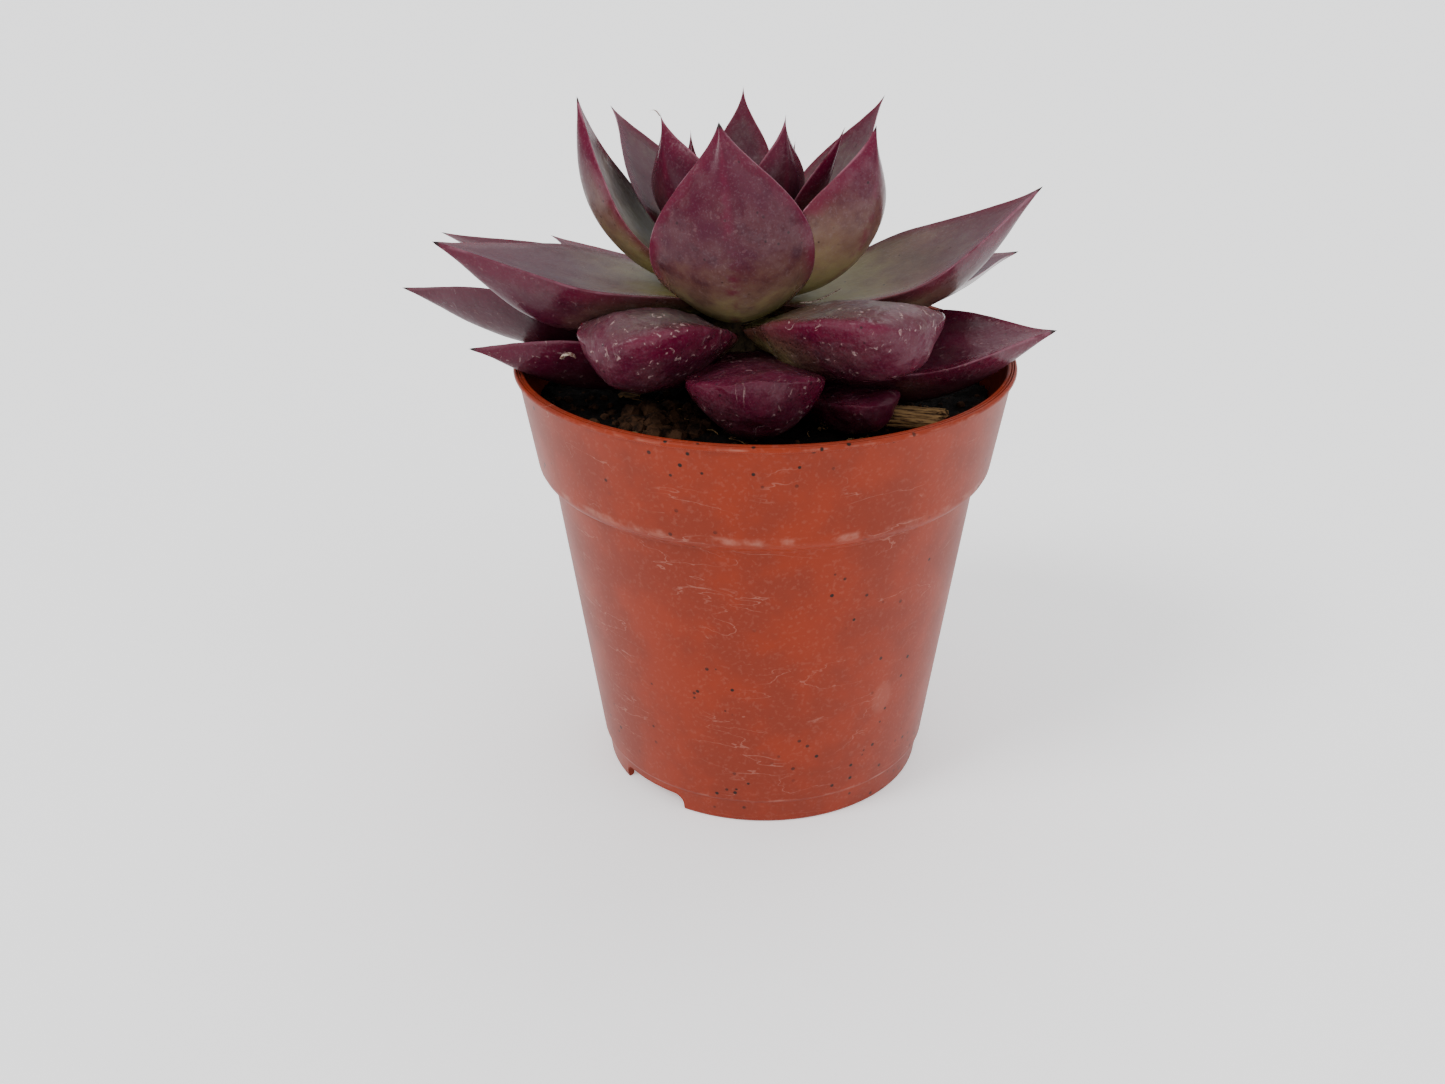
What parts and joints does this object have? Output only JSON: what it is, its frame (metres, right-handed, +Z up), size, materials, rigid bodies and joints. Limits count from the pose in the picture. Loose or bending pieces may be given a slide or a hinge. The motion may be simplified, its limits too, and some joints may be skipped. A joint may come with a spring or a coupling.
{
  "type": "potted echeveria",
  "caption": "Rosette succulent with thick, keeled, pointed purple leaves on a short stem, in soil in a thin terracotta-coloured plastic nursery pot.",
  "frame": {"origin": "centre of the whole object's box in plan, at the height of the pot's foot", "axes": "+Z up, -Y towards the side that the picture shows, +X to a viewer's right"},
  "size_m": [0.1368, 0.1064, 0.1473],
  "materials": {
    "pot": "satin",
    "soil": "matt, crumbly",
    "bark": "matt, fibrous",
    "stem": "matt, corky",
    "leaf": "waxy, half matt"
  },
  "bodies": {
    "root": {"pot": "pot", "soil": "soil", "bark_chip": "bark", "stem": "stem", "leaf_01": "leaf", "leaf_02": "leaf", "leaf_03": "leaf", "leaf_04": "leaf", "leaf_05": "leaf", "leaf_06": "leaf", "leaf_07": "leaf", "leaf_08": "leaf", "leaf_09": "leaf", "leaf_10": "leaf", "leaf_11": "leaf", "leaf_12": "leaf", "leaf_13": "leaf", "leaf_14": "leaf", "leaf_15": "leaf", "leaf_16": "leaf", "leaf_17": "leaf", "leaf_18": "leaf", "leaf_19": "leaf", "leaf_20": "leaf", "leaf_21": "leaf", "leaf_22": "leaf", "leaf_23": "leaf", "leaf_24": "leaf", "leaf_25": "leaf", "leaf_26": "leaf", "leaf_27": "leaf", "leaf_28": "leaf", "leaf_29": "leaf", "leaf_30": "leaf", "leaf_31": "leaf", "leaf_32": "leaf"}
  },
  "joints": []
}
